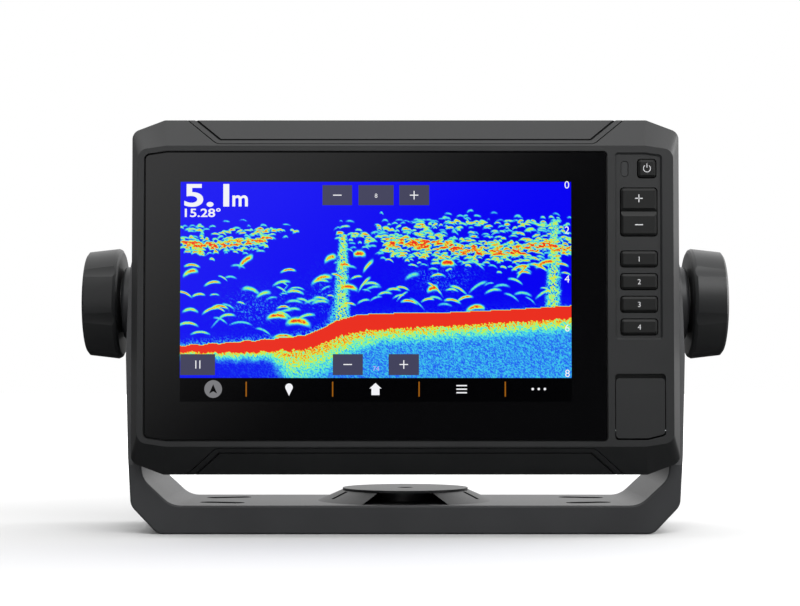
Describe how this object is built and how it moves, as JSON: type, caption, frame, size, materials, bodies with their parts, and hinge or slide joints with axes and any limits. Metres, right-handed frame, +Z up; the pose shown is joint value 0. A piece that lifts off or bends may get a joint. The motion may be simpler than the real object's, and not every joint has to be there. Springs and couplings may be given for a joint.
{
  "type": "fish finder",
  "caption": "Boxy marine sonar display with an eight-sided face, side keys and a card door, on a U-shaped tilting bracket clamped by round side knobs.",
  "frame": {"origin": "on the deck, under the middle of the whole object", "axes": "+X to the user's right along the knobs' axis, +Y away from the user, +Z up"},
  "size_m": [0.268, 0.092, 0.1671],
  "materials": {
    "case_plastic": "fine satin moulding texture",
    "bracket_plastic": "satin glass-filled nylon",
    "knob_plastic": "satin moulded nylon",
    "key_rubber": "satin silicone",
    "seal_rubber": "matte",
    "washer_nylon": "satin",
    "cover_glass": "polished, printed black border",
    "sensor_window": "smoked and polished",
    "steel": "plated",
    "brass": "turned",
    "chassis_metal": "as stamped",
    "lcd_glass": "polished",
    "board": "solder mask",
    "chip_black": "moulded",
    "antenna_ceramic": "ceramic with silvered patch",
    "flex": "polyimide"
  },
  "bodies": {
    "bracket": {"bail_bracket": "bracket_plastic", "hub_cap": "bracket_plastic"},
    "cradle": {"cradle_body": "bracket_plastic", "cradle_contact_block": "bracket_plastic", "power_socket": "bracket_plastic", "transducer_socket": "bracket_plastic", "latch_pin": "steel", "latch_spring": "steel", "friction_washer_left": "washer_nylon", "friction_washer_right": "washer_nylon", "threaded_insert_left": "brass", "threaded_insert_right": "brass"},
    "latch": {"latch_lever": "bracket_plastic"},
    "head": {"front_bezel": "case_plastic", "top_trim": "case_plastic", "bottom_trim": "case_plastic", "rear_housing": "case_plastic", "cover_glass": "cover_glass", "glass_gasket": "seal_rubber", "lcd_panel": "lcd_glass", "lcd_frame": "chassis_metal", "main_board": "board", "board_components": "chip_black", "shield_can": "steel", "heat_spreader": "chassis_metal", "gps_antenna": "antenna_ceramic", "beeper": "chip_black", "light_sensor_window": "sensor_window", "keypad_mat": "seal_rubber", "keypad_board": "board", "card_door_pin": "steel", "card_door_seal": "seal_rubber", "card_reader": "steel", "ribbon_cable": "flex", "contact_socket": "chip_black", "pressure_vent": "chip_black", "housing_seal": "seal_rubber", "housing_screws": "steel", "board_screws": "steel"},
    "power_button": {"power_key": "key_rubber"},
    "zoom_button": {"zoom_rocker": "key_rubber"},
    "door": {"card_door": "bracket_plastic"},
    "button_1": {"key_1": "key_rubber"},
    "button_2": {"key_2": "key_rubber"},
    "button_3": {"key_3": "key_rubber"},
    "button_4": {"key_4": "key_rubber"},
    "knob_left_travel": {"knob_washer_left": "washer_nylon"},
    "knob_left_spin": {"knob_left": "knob_plastic", "knob_stud_left": "steel"},
    "knob_right_travel": {"knob_washer_right": "washer_nylon"},
    "knob_right_spin": {"knob_right": "knob_plastic", "knob_stud_right": "steel"}
  },
  "joints": [
    {"name": "tilt", "type": "hinge", "parent": "bracket", "child": "cradle", "pos_m": [0, 0.009, 0.0946], "axis": [-1, 0, 0], "range_deg": [-2, 60]},
    {"name": "unit_release", "type": "slide", "parent": "cradle", "child": "head", "axis": [0, -1, 0], "range_m": [0, 0.03]},
    {"name": "latch_press", "type": "hinge", "parent": "cradle", "child": "latch", "pos_m": [0, 0.001, 0.1516], "axis": [-1, 0, 0], "range_deg": [0, 12], "stiffness_Nm_per_rad": 0.12, "springref_deg": -11.46, "deforming": ["latch_spring"]},
    {"name": "power_press", "type": "slide", "parent": "head", "child": "power_button", "axis": [0, 1, 0], "range_m": [0, 0.0007], "stiffness_N_per_m": 1500, "springref_m": -0.0005},
    {"name": "zoom_rock", "type": "hinge", "parent": "head", "child": "zoom_button", "pos_m": [0.09265, -0.0409, 0.129], "axis": [1, 0, 0], "range_deg": [-2.5, 2.5], "stiffness_Nm_per_rad": 0.08},
    {"name": "card_door_swing", "type": "hinge", "parent": "head", "child": "door", "pos_m": [0.09295, -0.0446, 0.0422], "axis": [1, 0, 0], "range_deg": [0, 95]},
    {"name": "key_1_press", "type": "slide", "parent": "head", "child": "button_1", "axis": [0, 1, 0], "range_m": [0, 0.0007], "stiffness_N_per_m": 1500, "springref_m": -0.0005},
    {"name": "key_2_press", "type": "slide", "parent": "head", "child": "button_2", "axis": [0, 1, 0], "range_m": [0, 0.0007], "stiffness_N_per_m": 1500, "springref_m": -0.0005},
    {"name": "key_3_press", "type": "slide", "parent": "head", "child": "button_3", "axis": [0, 1, 0], "range_m": [0, 0.0007], "stiffness_N_per_m": 1500, "springref_m": -0.0005},
    {"name": "key_4_press", "type": "slide", "parent": "head", "child": "button_4", "axis": [0, 1, 0], "range_m": [0, 0.0007], "stiffness_N_per_m": 1500, "springref_m": -0.0005},
    {"name": "knob_left_slide", "type": "slide", "parent": "cradle", "child": "knob_left_travel", "axis": [-1, 0, 0], "range_m": [0, 0.0026]},
    {"name": "knob_left_turn", "type": "hinge", "parent": "knob_left_travel", "child": "knob_left_spin", "pos_m": [-0.126, 0.009, 0.0946], "axis": [1, 0, 0], "range_deg": [0, 720]},
    {"name": "knob_right_slide", "type": "slide", "parent": "cradle", "child": "knob_right_travel", "axis": [1, 0, 0], "range_m": [0, 0.0026]},
    {"name": "knob_right_turn", "type": "hinge", "parent": "knob_right_travel", "child": "knob_right_spin", "pos_m": [0.126, 0.009, 0.0946], "axis": [-1, 0, 0], "range_deg": [0, 720]}
  ],
  "couplings": [
    {"joint": "knob_left_slide", "follows": "knob_left_turn", "m_per_rad": 0.00019894},
    {"joint": "knob_right_slide", "follows": "knob_right_turn", "m_per_rad": 0.00019894}
  ]
}
